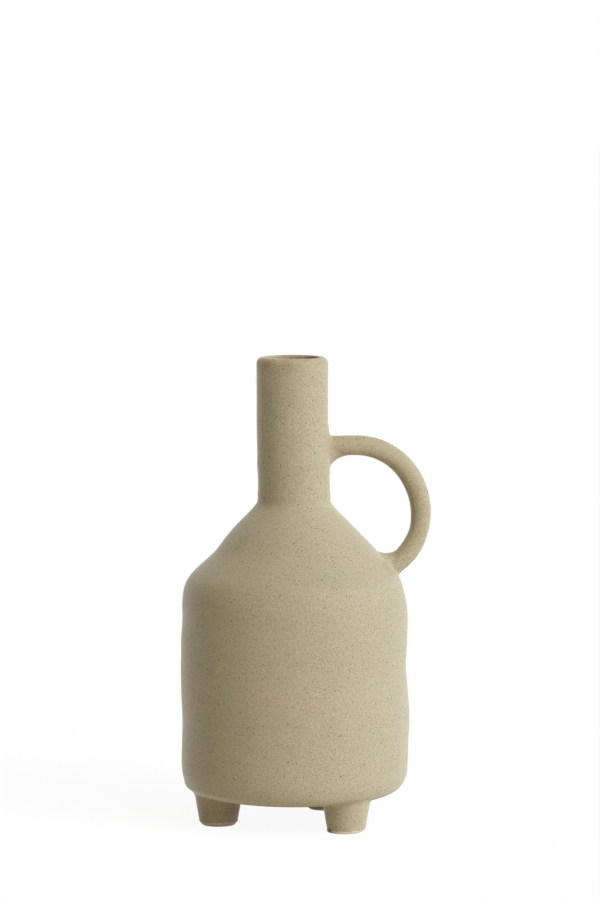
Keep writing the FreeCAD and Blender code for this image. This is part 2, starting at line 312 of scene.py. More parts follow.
@dataclass(frozen=True)
class HandWork:
    """The slight unevenness of a hand-made vase, laid over every piece alike."""

    form: VaseForm
    ease: float = 0.05 * MM
    reach: float = 12 * MM
    lean: float = -1.1 * MM
    lean_start: float = 214 * MM
    lean_end: float = 262 * MM
    swells: tuple[Ring, ...] = (
        ring(22, 4, 0.85), ring(32, 7, -0.45), ring(50, 20, -0.25), ring(103, 16, -0.85),
        ring(134, 13, -0.75), ring(149, 8.5, -1.35), ring(175, 7, -0.55), ring(201, 6.5, -0.75),
        ring(211, 3, 0.4), ring(231, 5, 0.35), ring(272, 34, -0.2))
    wanders: tuple[Ring, ...] = (
        ring(31, 5, 0.35), ring(43, 10, 0.35), ring(66, 17, 1.2), ring(101, 9, -0.5),
        ring(132, 9, 0.65), ring(151, 5, -0.3), ring(176, 9, 1.2))
    lift: Ring = ring(19, 7, 0.6)
    presses: tuple[Press, ...] = (
        Press(175, 45, ring(23.5, 2.5, 0.7)),
        Press(170, 45, ring(171, 7, -0.5)),
        Press(-95, 40, ring(92, 22, -0.35)),
        Press(75, 50, ring(62, 20, -0.7)),
        Press(115, 45, ring(122, 20, -0.5)),
        Press(60, 40, ring(185, 14, -0.5)),
        Press(0, 60, ring(253, 4.5, 0.45)),
    )

    def settle(self, points: Points) -> Points:
        """Moves points as the hand-made wall runs.

        The radius grows by the sum of the swells and the presses, less a small ease, and the whole
        wall moves along X by the sum of the wanders and by the neck's eased lean. Away from the wall,
        as out along the handle, all this fades out over a short reach. The underside is lifted a little.

        Args:
            points: Places on the even form, in the last axis.

        Returns:
            The places on the hand-made form.
        """
        across, deep, level = points[..., 0] - self.form.axis, points[..., 1], points[..., 2]
        radius = np.hypot(across, deep)
        turn = np.degrees(np.arctan2(deep, across))
        near = 1 - smooth(self.form.clearance(points, Seat.SIDE) / self.reach)
        grown = sum(swell.at(level) for swell in self.swells)
        grown = near * (grown + sum(press.at(turn, level) for press in self.presses)) - self.ease
        # Near the axis the growth fades out too, so that the floor stays whole there.
        share = 1 + grown * smooth(radius / self.form.bore) / np.maximum(radius, self.form.fine)
        lean = self.lean * smooth((level - self.lean_start) / (self.lean_end - self.lean_start))
        sideways = near * (lean + sum(wander.at(level) for wander in self.wanders))
        lift = self.lift.at(level) * smooth(level / self.lift.height)
        return np.stack([self.form.axis + across * share + sideways, deep * share, level + lift], axis=-1)


@dataclass
class TurnedPiece:
    """A piece that is thrown on the wheel: an outline turned about the vase's axis."""

    form: VaseForm
    hand: HandWork
    node: str = ""
    name: str = ""
    whole: bool = False

    def outline(self) -> Points:
        """The outline, outside first and upwards, as points of radius and level."""
        raise NotImplementedError

    def corners(self, outline: Points) -> Points:
        """Numbers the outline's points where it turns by more than a corner's angle."""
        steps = np.diff(outline, axis=0, append=outline[:1])
        heading = np.degrees(np.arctan2(steps[:, 1], steps[:, 0]))
        turn = np.abs((heading - np.roll(heading, 1) + HALF_TURN) % FULL_TURN - HALF_TURN)
        return np.flatnonzero(turn > CORNER_TURN)

    def build(self) -> bpy.types.Object:
        """Turns the outline: (axis + radius * cos turn, radius * sin turn, level), made uneven by hand.
        A whole piece closes on the axis, and another is open there."""
        outline = self.outline()
        turn = np.radians(np.linspace(0, FULL_TURN, ROUND_COLUMNS, endpoint=False))
        radius, level = outline[:, :1], outline[:, 1:]
        grid = np.stack([self.form.axis + radius * np.cos(turn), radius * np.sin(turn),
                         np.broadcast_to(level, (len(outline), ROUND_COLUMNS))], axis=-1)
        ends = [(self.form.axis, 0, outline[row, 1]) for row in (0, -1)]
        poles = np.array(ends) if self.whole else None
        return Skin(self.hand.settle(grid), poles, self.corners(outline)).build(self.name)


@dataclass
class Floor(TurnedPiece):
    """The floor, turned up at its rounded heel to meet the belly wall."""

    node: str = "floor"
    name: str = "floor_and_heel"
    whole: bool = True

    def outline(self) -> Points:
        """From the middle of the underside out, up the heel, and back over the inside."""
        form = self.form
        outside, inside = form.heel(), form.heel(form.wall, form.floor)[::-1]
        return strung(straight((form.coarse, form.underside), outside[0], form.coarse), outside,
                      straight(outside[-1], inside[0], form.coarse), inside,
                      straight(inside[-1], (form.coarse, form.underside + form.floor), form.coarse))


@dataclass
class Belly(TurnedPiece):
    """The straight wall, standing on the heel."""

    node: str = "belly"
    name: str = "belly_wall"

    def outline(self) -> Points:
        """Up the outside, in over the top, down the inside."""
        form = self.form
        outer, inner = form.belly_radius, form.belly_radius - form.wall
        return strung(straight((outer, form.heel_top), (outer, form.belly_top), form.fine),
                      straight((outer, form.belly_top), (inner, form.belly_top), form.coarse),
                      straight((inner, form.belly_top), (inner, form.heel_top), form.coarse))


@dataclass
class Shoulder(TurnedPiece):
    """The slope from the belly to the collar."""

    node: str = "shoulder"
    name: str = "shoulder_slope"

    def outline(self) -> Points:
        """Up the outside, in over the top, down the inside."""
        outside, inside = self.form.shoulder(), self.form.shoulder(self.form.wall)[::-1]
        return strung(outside, straight(outside[-1], inside[0], self.form.coarse), inside)


@dataclass
class Neck(TurnedPiece):
    """The neck, with its soft lip."""

    node: str = "neck"
    name: str = "neck_and_lip"
    lip_outer: float = 4.0 * MM
    lip_inner: float = 1.3 * MM
    lip_step: float = 0.3 * MM

    def outline(self) -> Points:
        """Up the outside, over the lip's two rounds, down the inside."""
        form = self.form
        outer = rounded((form.neck_radius - self.lip_outer, form.rim - self.lip_outer), self.lip_outer,
                        0, QUARTER_TURN, self.lip_step)
        inner = rounded((form.bore + self.lip_inner, form.rim - self.lip_inner), self.lip_inner,
                        QUARTER_TURN, HALF_TURN, self.lip_step)
        return strung(straight((form.neck_radius, form.collar_top), outer[0], form.fine), outer,
                      straight(outer[-1], inner[0], self.lip_step), inner,
                      straight(inner[-1], (form.bore, form.collar_top), form.coarse))


@dataclass(frozen=True)
class Flare:
    """How far the slip is smoothed out round a joint, along the rod and over the vase: outside the
    rod's bend, beside it and inside it."""

    outside: tuple[float, float]
    beside: tuple[float, float]
    inside: tuple[float, float]

    def reach(self, around: Points) -> Points:
        """Beside, moved towards outside or inside by the cosine squared of the angle around.

        Args:
            around: The angles of the columns.

        Returns:
            The reach along the rod and the reach over the vase, one a row.
        """
        lean = np.cos(around)
        beside = np.array(self.beside)[:, None]
        aside = np.where(lean > 0, np.array(self.outside)[:, None], np.array(self.inside)[:, None])
        return beside + (aside - beside) * lean**2


@dataclass
class Limb:
    """A rod of clay that is set on the vase's outside, with its joints smoothed out with slip."""

    form: VaseForm
    hand: HandWork
    node: str = ""
    name: str = ""
    columns: int = 144
    flare_rows: int = 16
    hollow: float = 0.55
    seat_rows: int = 4
    seat_depth: float = 0.5 * MM
    edge_depth: float = 0.03 * MM

    def middle(self, along: Points) -> tuple[Points, Points, Points]:
        """The rod's middle line at some places along it, with its outward and its sideways directions."""
        raise NotImplementedError

    def thickness(self, along: Points, around: Points) -> Points:
        """The rod's radius at some places along and around it."""
        raise NotImplementedError

    def rod(self, along: Points, around: Points) -> Points:
        """The rod's skin: middle + radius * (outward * cos around + sideways * sin around)."""
        middle, outward, sideways = self.middle(along)
        off = np.cos(around)[..., None] * outward + np.sin(around)[..., None] * sideways
        return middle + self.thickness(along, around)[..., None] * off

    def around(self) -> Points:
        """The angles of the columns."""
        return np.linspace(0, 2 * math.pi, self.columns, endpoint=False)

    def meeting(self, tried: Points, seat: Seat) -> Points:
        """Finds for each column where the rod comes out of the vase, by straight-line interpolation.

        Args:
            tried: Places along the rod, from inside the vase outwards.
            seat: The stretch of the outside that the rod stands on.

        Returns:
            The place along the rod, one a column.
        """
        off = self.form.clearance(self.rod(tried[:, None], self.around()[None]), seat)
        row = np.argmax(off > 0, axis=0)
        column = np.arange(self.columns)
        before, after = off[row - 1, column], off[row, column]
        return tried[row - 1] + before / (before - after) * (tried[row] - tried[row - 1])

    def joint(self, meeting: Points, away: float, flare: Flare, seat: Seat) -> tuple[Points, Points]:
        """Lays the skin from the middle of the seat, out to the flare's edge and up to the rod.

        The flare is a weighted curve with three handles, the edge, the meeting and the rod. Their shares
        are (1 - t)^2, 2t(1 - t) * hollow and t^2, over the sum of the three.

        Args:
            meeting: Where the rod meets the vase, one place a column.
            away: 1 if the rod leaves the vase with growing places, and -1 if it comes to it.
            flare: The reach of the slip, along the rod and over the vase.
            seat: The stretch of the outside that the rod stands on.

        Returns:
            The rows, from the seat to the rod, and the seat's middle.
        """
        around = self.around()
        along, over = flare.reach(around)
        hit = self.rod(meeting, around)
        middle, _, _ = self.middle(meeting)
        out = hit - middle
        spread = hit + over[:, None] * out / np.linalg.norm(out, axis=-1, keepdims=True)
        edge = self.form.land(spread, seat, self.edge_depth)
        start = self.rod(meeting + away * along, around)
        t = np.linspace(0, 1, self.flare_rows)[:, None, None]
        low, high, between = (1 - t) ** 2, t**2, 2 * t * (1 - t) * self.hollow
        curve = (low * edge + between * hit + high * start) / (low + high + between)
        centre = self.form.land(edge.mean(axis=0)[None], seat, self.seat_depth)
        share = np.linspace(0, 1, self.seat_rows + 1)[1:, None, None]
        face = self.form.land(centre + share * (edge - centre), seat, self.seat_depth)
        return np.concatenate([face, curve]), centre[0]

    def dress(self, rows: Points, poles: Points, corners: Points) -> bpy.types.Object:
        """Makes the uneven skin from even rows."""
        return Skin(self.hand.settle(rows), self.hand.settle(poles), corners).build(self.name)


@dataclass(frozen=True)
class Lump:
    """A thicker or a thinner stretch of the handle's rod, at a turn round the ring, on the ring's inner
    side or its outer side."""

    turn: float
    width: float
    side: int
    out: float

    def at(self, turn: Points, around: Points) -> Points:
        """A bell over the turn, times (1 + side * cos around) / 2."""
        bell = np.exp(-((turn - self.turn) / self.width) ** 2)
        return self.out * bell * (1 + self.side * np.cos(around)) / 2


@dataclass
class RingHandle(Limb):
    """The handle: a round rod that leaves the neck level and bends down in a ring to the shoulder."""

    node: str = "handle"
    name: str = "ring_handle"
    rod_diameter: float = 13.1 * MM
    bend_radius: float = 44 * MM
    drop: float = 11.55 * MM
    rod_rows: int = 190
    tries: int = 1500
    neck_flare: Flare = Flare((2.2 * MM, 5 * MM), (3.2 * MM, 3.2 * MM), (13.5 * MM, 9 * MM))
    shoulder_flare: Flare = Flare((3.5 * MM, 2 * MM), (0.9 * MM, 0.7 * MM), (12 * MM, 9 * MM))
    lumps: tuple[Lump, ...] = (Lump(26, 17, -1, 0.5 * MM), Lump(-17, 13, -1, -0.75 * MM),
                               Lump(-52, 11, 1, -1.0 * MM), Lump(90, 14, 1, -0.4 * MM),
                               Lump(-60, 14, -1, 1.6 * MM))

    def __post_init__(self) -> None:
        """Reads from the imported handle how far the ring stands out."""
        _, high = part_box(self.node)
        self.ring_x = high.x - self.rod_diameter / 2 - self.bend_radius
        self.ring_z = self.form.collar_top - self.drop
        self.level_run = self.ring_x - self.form.axis

    def turn(self, along: Points) -> Points:
        """The turn round the ring: a quarter turn less the length past the level run over the radius."""
        return math.pi / 2 - np.maximum(along - self.level_run, 0) / self.bend_radius

    def middle(self, along: Points) -> tuple[Points, Points, Points]:
        """Level from the vase's axis to over the ring's middle, then round the ring by the length left."""
        turn = self.turn(along)
        level = np.minimum(along - self.level_run, 0)
        flat = np.zeros_like(turn)
        middle = np.stack([self.ring_x + self.bend_radius * np.cos(turn) + level, flat,
                           self.ring_z + self.bend_radius * np.sin(turn)], axis=-1)
        outward = np.stack([np.cos(turn), flat, np.sin(turn)], axis=-1)
        return middle, outward, np.stack([flat, flat - 1, flat], axis=-1)

    def thickness(self, along: Points, around: Points) -> Points:
        """Half the rod's diameter, and the lumps."""
        turn = np.degrees(self.turn(along))
        return self.rod_diameter / 2 + sum(lump.at(turn, around) for lump in self.lumps)

    def build(self) -> bpy.types.Object:
        """Lays the rows from the seat on the neck round to the seat on the shoulder."""
        whole = self.level_run + math.pi * self.bend_radius
        tried = np.linspace(self.form.bore, whole, self.tries)
        leaves = self.meeting(tried, Seat.SIDE)
        comes = self.meeting(tried[::-1], Seat.SIDE)
        neck_end, neck_middle = self.joint(leaves, 1, self.neck_flare, Seat.SIDE)
        shoulder_end, shoulder_middle = self.joint(comes, -1, self.shoulder_flare, Seat.SIDE)
        around = self.around()
        first = leaves + self.neck_flare.reach(around)[0]
        last = comes - self.shoulder_flare.reach(around)[0]
        share = np.linspace(0, 1, self.rod_rows)[1:-1, None]
        rod = self.rod(first + share * (last - first), around[None])
        rows = np.concatenate([neck_end, rod, shoulder_end[::-1]])
        edges = np.array([self.seat_rows, len(rows) - 1 - self.seat_rows])
        return self.dress(rows, np.stack([neck_middle, shoulder_middle]), edges)


@dataclass
class PegFoot(Limb):
    """A peg foot: a short cone that widens upwards into the heel, with a worn lower edge."""

    turn: float = 0.0
    inset: float = 23.2 * MM
    tip_diameter: float = 23.9 * MM
    root_diameter: float = 30.4 * MM
    bevel: float = 2.0 * MM
    bevel_turn: float = 45.0
    slip: float = 0.0
    corner_round: float = 0.7 * MM
    sole_round: float = 0.5 * MM
    step: float = 0.25 * MM
    side_rows: int = 26
    sole_shares: tuple[float, ...] = (0.25, 0.5, 0.75)
    tries: int = 800
    flare: Flare = Flare(*[(1.3 * MM, 1.3 * MM)] * 3)

    def middle(self, along: Points) -> tuple[Points, Points, Points]:
        """Straight up from the ground at the foot's own place on the ring of feet."""
        turn = math.radians(self.turn)
        outward = np.array([math.cos(turn), math.sin(turn), 0])
        sideways = np.array([-math.sin(turn), math.cos(turn), 0])
        ground = np.array([self.form.axis, 0, 0]) + (self.form.belly_radius - self.inset) * outward
        return ground + along[..., None] * np.array([0, 0, 1]), outward, sideways

    def thickness(self, along: Points, around: Points) -> Points:
        """The tip's radius, plus the taper times the height."""
        taper = (self.root_diameter - self.tip_diameter) / 2 / self.form.underside
        return self.tip_diameter / 2 + taper * along + np.zeros_like(around)

    def worn_edge(self) -> Points:
        """The bevel from the sole up to the side, with its two corners rounded: the radius, less the
        side's own, and the level."""
        turn = math.radians(self.bevel_turn)
        corner = rounded((-self.corner_round, self.bevel), self.corner_round,
                         -self.bevel_turn, 0, self.step)
        rise = corner[0, 1] - self.sole_round * (1 - math.cos(turn))
        inset = rise / math.tan(turn) + self.sole_round * math.sin(turn) - corner[0, 0]
        sole = rounded((-inset, self.sole_round), self.sole_round,
                       -QUARTER_TURN, -self.bevel_turn, self.step)
        return strung(sole, straight(sole[-1], corner[0], self.step), corner)

    def build(self) -> bpy.types.Object:
        """Lays the rows from the middle of the sole up to the seat under the heel."""
        around = self.around()
        tried = np.linspace(self.form.heel_top, 0, self.tries)
        meets = self.meeting(tried, Seat.UNDERSIDE)
        top, top_middle = self.joint(meets, -1, self.flare, Seat.UNDERSIDE)
        tip = self.rod(np.zeros((1, 1)), around[None])
        ground, _, _ = self.middle(np.zeros(1))
        out = (tip[0] - ground) / (self.tip_diameter / 2)
        edge = self.worn_edge()
        radius = self.thickness(np.array(self.bevel), np.zeros(())) + edge[:, 0]
        sole = ground + np.array(self.sole_shares)[:, None, None] * radius[0] * out
        worn = ground + radius[:, None, None] * out
        worn[..., 2] += edge[:, 1:]
        sole[..., 0] -= self.slip
        worn[..., 0] -= self.slip * (1 - smooth(edge[:, 1:] / self.bevel))
        share = np.linspace(0, 1, self.side_rows)[1:-1, None]
        low, high = np.full(self.columns, self.bevel), meets - self.flare.reach(around)[0]
        side = self.rod(low + share * (high - low), around[None])
        rows = np.concatenate([sole, worn, side, top[::-1]])
        edges = np.array([len(rows) - 1 - self.seat_rows])
        return self.dress(rows, np.stack([ground[0], top_middle]), edges)


Operand = Union["Signal", float]
Tone = Union["Signal", Colour]


@dataclass(frozen=True)
class Signal:
    """A number or a colour that changes over a surface, on a node's output socket."""

    bench: "Bench"
    socket: bpy.types.NodeSocket

    def _math(self, operation: str, first: Operand, second: Operand) -> "Signal":
        """Adds a Math node for two values."""
        return self.bench.output("ShaderNodeMath", {0: first, 1: second}, operation=operation)

    def __add__(self, other: Operand) -> "Signal":
        """Gives self + other."""
        return self._math("ADD", self, other)

    __radd__ = __add__

    def __sub__(self, other: Operand) -> "Signal":
        """Gives self - other."""
        return self._math("SUBTRACT", self, other)

    def __rsub__(self, other: Operand) -> "Signal":
        """Gives other - self."""
        return self._math("SUBTRACT", other, self)

    def __mul__(self, other: Operand) -> "Signal":
        """Gives self * other."""
        return self._math("MULTIPLY", self, other)

    __rmul__ = __mul__

    def graded(self, start: float, end: float, low: float = 0.0, high: float = 1.0) -> "Signal":
        """Eases from low, where self is at start, to high, where it is at end."""
        return self.bench.output("ShaderNodeMapRange", {0: self, 1: start, 2: end, 3: low, 4: high},
                                 interpolation_type="SMOOTHSTEP")


class Bench:
    """A tree of shader nodes that is being laid out."""

    def __init__(self, owner: bpy.types.Material | bpy.types.World) -> None:
        """Starts with an empty tree on a material or a world."""
        owner.use_nodes = True
        self.tree = owner.node_tree
        self.tree.nodes.clear()

    def node(self, kind: str, inputs: dict[int | str, Any], **settings: str) -> bpy.types.Node:
        """Adds a node: its settings first, then the values or the links of its sockets."""
        made = self.tree.nodes.new(kind)
        for name, setting in settings.items():
            setattr(made, name, setting)
        for name, given in inputs.items():
            if isinstance(given, Signal):
                self.tree.links.new(given.socket, made.inputs[name])
            else:
                made.inputs[name].default_value = given
        return made

    def output(self, kind: str, inputs: dict[int | str, Any], socket: int | str = 0,
               **settings: str) -> Signal:
        """Adds a node and gives one of its outputs."""
        return Signal(self, self.node(kind, inputs, **settings).outputs[socket])

    @cached_property
    def place(self) -> Signal:
        """The place on the piece, in metres from the vase's own origin."""
        return self.output("ShaderNodeTexCoord", {}, "Object")

    @cached_property
    def across(self) -> Signal:
        """The place along X, in metres."""
        return self.output("ShaderNodeSeparateXYZ", {0: self.place})

    @cached_property
    def level(self) -> Signal:
        """The height above the ground, in metres."""
        return self.output("ShaderNodeSeparateXYZ", {0: self.place}, 2)

    def moved(self, offset: float, upright: float = 1.0) -> Signal:
        """The place, moved by some metres, so that two patterns of one size differ. A pattern on it is
        drawn out upwards where upright is small."""
        return self.output("ShaderNodeVectorMath", {0: self.place, 1: (1, 1, upright), 2: (offset,) * 3},
                           operation="MULTIPLY_ADD")

    def noise(self, size: float, detail: float, offset: float, upright: float = 1.0) -> Signal:
        """A cloudy number about 0.5, with clouds of some size."""
        place = self.moved(offset, upright)
        return self.output("ShaderNodeTexNoise", {0: place, 2: 1 / size, 3: detail})

    def away(self, point: tuple[float, float, float]) -> Signal:
        """The distance from a point, in metres."""
        return self.output("ShaderNodeVectorMath", {0: self.place, 1: point}, 1, operation="DISTANCE")

    def cells(self, size: float, offset: float) -> tuple[Signal, Signal, Signal]:
        """Scattered cells of some size: the distance from a cell's point, in metres, and two numbers
        from 0 to 1 that differ from cell to cell."""
        node = self.node("ShaderNodeTexVoronoi", {0: self.moved(offset), 2: 1 / size})
        split = self.node("ShaderNodeSeparateColor", {0: Signal(self, node.outputs["Color"])})
        return (Signal(self, node.outputs["Distance"]) * size,
                Signal(self, split.outputs[0]), Signal(self, split.outputs[1]))

    def mixed(self, share: Operand, first: Tone, second: Tone) -> Signal:
        """The first colour, turned into the second by a share, on the node's sockets for colours."""
        return self.output("ShaderNodeMix", {0: share, 6: first, 7: second}, 2, data_type="RGBA")

    def shaded(self, colour: Signal, amount: Signal) -> Signal:
        """A colour, brighter or darker by an amount about 1."""
        return self.output("ShaderNodeVectorMath", {0: colour, 3: amount}, operation="SCALE")

    def seen(self) -> Signal:
        """1 for what the camera sees straight on, in a gloss or through glass, and else 0."""
        path = self.node("ShaderNodeLightPath", {})
        first, second, third = (Signal(self, path.outputs[name]) for name in
                                ("Is Camera Ray", "Is Glossy Ray", "Is Transmission Ray"))
        return first + second + third


@dataclass(frozen=True)
class Clouds:
    """A cloudy pattern: the size of its clouds, how fine their detail is, where it lies, and the stretch
    of the noise, about 0.5, over which it eases from low to high."""

    size: float
    detail: float
    offset: float
    start: float = 0.3
    end: float = 0.7
    low: float = 0.0
    high: float = 1.0

    def at(self, bench: Bench) -> Signal:
        """The pattern, as a number from low to high."""
        noise = bench.noise(self.size, self.detail, self.offset)
        return noise.graded(self.start, self.end, self.low, self.high)


@dataclass(frozen=True)
class Ripple:
    """A cloudy unevenness: the size of its clouds, how fine their detail is, where it lies, how high it
    is, and how much of its own height it keeps when it is drawn out upwards."""

    size: float
    detail: float
    offset: float
    height: float
    upright: float = 1.0

    def at(self, bench: Bench) -> Signal:
        """The unevenness, about 0: (noise - 0.5) * height."""
        return (bench.noise(self.size, self.detail, self.offset, self.upright) - 0.5) * self.height


@dataclass(frozen=True)
class Fade:
    """How a patch fades: the distance where it is gone, the one where it is full, and how strong it is."""

    gone: float
    full: float
    share: float = 1.0

    def at(self, distance: Signal) -> Signal:
        """The strength at a distance."""
        return distance.graded(self.gone, self.full, 0.0, self.share)


@dataclass(frozen=True)
class Grit:
    """One kind of grain in the clay: how far apart the grains lie, how large they are, how many of the
    places hold one, and how strongly they show. Ragged is a share of the largest grain, edge of the
    smallest, and faintest of the strength."""

    apart: float
    smallest: float
    largest: float
    filled: float
    strength: float
    offset: float
    ragged: float = 1.3
    edge: Fade = Fade(-0.35, 0.6)
    scarcity_step: float = 0.02
    faintest: float = 0.5

    def mask(self, bench: Bench) -> Signal:
        """A number that is 0 on the clay and up to the strength on a grain."""
        ragged = Ripple(self.largest * self.ragged, 1.0, self.offset, self.smallest).at(bench)
        distance, which, size = bench.cells(self.apart, self.offset)
        radius = self.smallest + size * (self.largest - self.smallest)
        inside = (radius - (distance + ragged)) * (1 / self.smallest)
        held = which.graded(1 - self.filled, 1 - self.filled + self.scarcity_step)
        return self.edge.at(inside) * held * (self.faintest + (1 - self.faintest) * size) * self.strength


class Bare(Enum):
    """Where a piece shows its clay without glaze."""

    NOWHERE = "glazed all over"
    SOLE = "the lower edge of a foot"
    UNDERSIDE = "underneath"


@dataclass(frozen=True)
class Stoneware:
    """The matt, sandy glaze over speckled clay. The relief's heights are counts of bump_height."""

    form: VaseForm
    bare: Bare
    greener: Colour = (0.519, 0.445, 0.286, 1)
    warmer: Colour = (0.532, 0.440, 0.288, 1)
    blush: Colour = (0.48, 0.34, 0.22, 1)
    # Bare clay colours: the clay's own colour, made paler with painted light bounced up from the white
    # floor.
    bounce_lit_clay: Colour = (0.86, 0.67, 0.50, 1)
    bounce_lit_pale_clay: Colour = (0.96, 0.80, 0.62, 1)
    iron: Colour = (0.07, 0.052, 0.03, 1)
    pale: Colour = (0.85, 0.79, 0.60, 1)
    tones: Clouds = Clouds(34 * MM, 3.0, 0.2, 0.34, 0.66)
    blotches: Clouds = Clouds(7 * MM, 3.0, 0.5, low=0.985, high=1.015)
    sand: Clouds = Clouds(0.6 * MM, 1.0, 0.9, 0.28, 0.72, 0.89, 1.11)
    fine_sand: Clouds = Clouds(0.36 * MM, 1.0, 1.7, 0.25, 0.75, 0.70, 1.30)
    clay_tones: Clouds = Clouds(0.8 * MM, 2.0, 6.1)
    roughness: Clouds = Clouds(2.5 * MM, 2.0, 5.5, low=0.34, high=0.42)
    grits: tuple[Grit, ...] = (
        Grit(2.8 * MM, 0.28 * MM, 0.44 * MM, 0.80, 1.0, 0.53),
        Grit(2.0 * MM, 0.20 * MM, 0.34 * MM, 0.75, 1.0, 0.37),
        Grit(1.3 * MM, 0.13 * MM, 0.24 * MM, 0.60, 0.65, 0.71),
    )
    flecks: Grit = Grit(1.7 * MM, 0.14 * MM, 0.28 * MM, 0.5, 0.45, 1.13)
    thin_patches: Clouds = Clouds(13 * MM, 2.0, 2.3, 0.42, 0.62)
    thin_lip: Fade = Fade(13 * MM, 2 * MM, 0.8)
    thin_joint: Fade = Fade(17 * MM, 7 * MM, 0.4)
    joint_out: float = 1.5 * MM
    joint_above_collar: float = 33 * MM
    # Painted shade at the front foot's lower left edge: a dark spot for a chip's hollow and for that side's
    # shade.
    nick_shade_centre: tuple[float, float, float] = (6.6 * MM, -47.0 * MM, 1.8 * MM)
    nick_shade_edge: Ripple = Ripple(1.5 * MM, 1.0, 7.7, 2 * MM)
    nick_shade_fade: Fade = Fade(3 * MM, 0.0, 0.95)
    heel_line: float = 1.7 * MM
    sole_line: float = 1.8 * MM
    left_rise: Fade = Fade(-20 * MM, -40 * MM, 1.0 * MM)
    line_wander: Ripple = Ripple(5 * MM, 2.0, 3.1, 1.6 * MM)
    line_fade: Fade = Fade(0.2 * MM, -0.2 * MM)
    bare_roughness: float = 0.5
    dry_heel: Fade = Fade(5 * MM, 1 * MM)
    dry_blush: float = 0.5
    dry_roughness: float = 0.4
    bump_height: float = 0.05 * MM
    sand_relief: Ripple = Ripple(0.7 * MM, 2.0, 4.2, 1.0)
    swell_relief: Ripple = Ripple(4.5 * MM, 1.0, 4.9, 0.9)
    wrinkles: Ripple = Ripple(3 * MM, 2.0, 0.0, 3.5, 0.2)
    softness: float = 0.3
    refraction: float = 1.35

    def colour(self, bench: Bench) -> Signal:
        """The glaze's colour: slow clouds of two tones, sandy grain, dark grits and pale flecks."""
        tone = bench.mixed(self.tones.at(bench), self.greener, self.warmer)
        tone = bench.shaded(tone, self.blotches.at(bench) * self.sand.at(bench) * self.fine_sand.at(bench))
        tone = bench.mixed(self.blushing(bench), tone, self.blush)
        for grit in self.grits:
            tone = bench.mixed(grit.mask(bench), tone, self.iron)
        return bench.mixed(self.flecks.mask(bench), tone, self.pale)

    def blushing(self, bench: Bench) -> Signal:
        """Where the glaze is thin and the clay shows through warm: patches under the lip and round
        the handle's joint with the neck."""
        lip = self.thin_lip.at(self.form.rim - bench.level) * self.thin_patches.at(bench)
        joint = (self.form.axis + self.form.neck_radius + self.joint_out, 0.0,
                 self.form.collar_top + self.joint_above_collar)
        return lip + self.thin_joint.at(bench.away(joint))

    def painted_nick_shade(self, bench: Bench) -> Signal:
        """Painted shade: a dark, rough-edged spot at the front foot's lower edge, standing in for a chip's
        hollow and the shade on that foot's lower left side.
        """
        return self.nick_shade_fade.at(bench.away(self.nick_shade_centre) + self.nick_shade_edge.at(bench))

    def bared(self, bench: Bench) -> Signal:
        """Where the glaze ends, along a wavy line: underneath, or above the soles, on the left higher."""
        line: Operand = self.form.underside + self.heel_line
        if self.bare is Bare.SOLE:
            line = self.left_rise.at(bench.across) + self.sole_line
        return self.line_fade.at(bench.level + self.line_wander.at(bench) - line)

    def relief(self, bench: Bench) -> Signal:
        """The height of the surface: sand, low swells of the glaze, and upright wrinkles on the feet."""
        height = self.sand_relief.at(bench) + self.swell_relief.at(bench)
        return height + self.wrinkles.at(bench) if self.bare is Bare.SOLE else height

    def build(self) -> bpy.types.Material:
        """Makes the material, named after where it is bare.

        Returns:
            The material.
        """
        material = bpy.data.materials.new(f"stoneware_{self.bare.name.lower()}")
        bench = Bench(material)
        colour, roughness = self.colour(bench), self.roughness.at(bench)
        if self.bare is not Bare.NOWHERE:
            bared = self.bared(bench)
            # The bare clay colours carry painted bounce light from the floor, so they are paler than the
            # clay itself.
            dark, light = (self.bounce_lit_clay, self.bounce_lit_pale_clay) if self.bare is Bare.SOLE else (self.blush, self.bounce_lit_clay)
            colour = bench.mixed(bared, colour, bench.mixed(self.clay_tones.at(bench), dark, light))
            roughness = roughness + bared * self.bare_roughness
        if self.bare is Bare.SOLE:
            # Paints shade at the front foot's lower left edge, in the grits' dark colour.
            colour = bench.mixed(self.painted_nick_shade(bench), colour, self.iron)
        if self.bare is Bare.UNDERSIDE:
            dry = self.dry_heel.at(bench.level - self.form.underside)
            colour = bench.mixed(dry * self.dry_blush, colour, self.blush)
            roughness = roughness + dry * self.dry_roughness
        bump = bench.output("ShaderNodeBump", {"Strength": 1.0, "Distance": self.bump_height,
                                               "Height": self.relief(bench)})
        surface = bench.output("ShaderNodeBsdfPrincipled", {
            "Base Color": colour, "Roughness": roughness, "Normal": bump,
            "Diffuse Roughness": self.softness, "IOR": self.refraction})
        bench.node("ShaderNodeOutputMaterial", {0: surface})
        return material


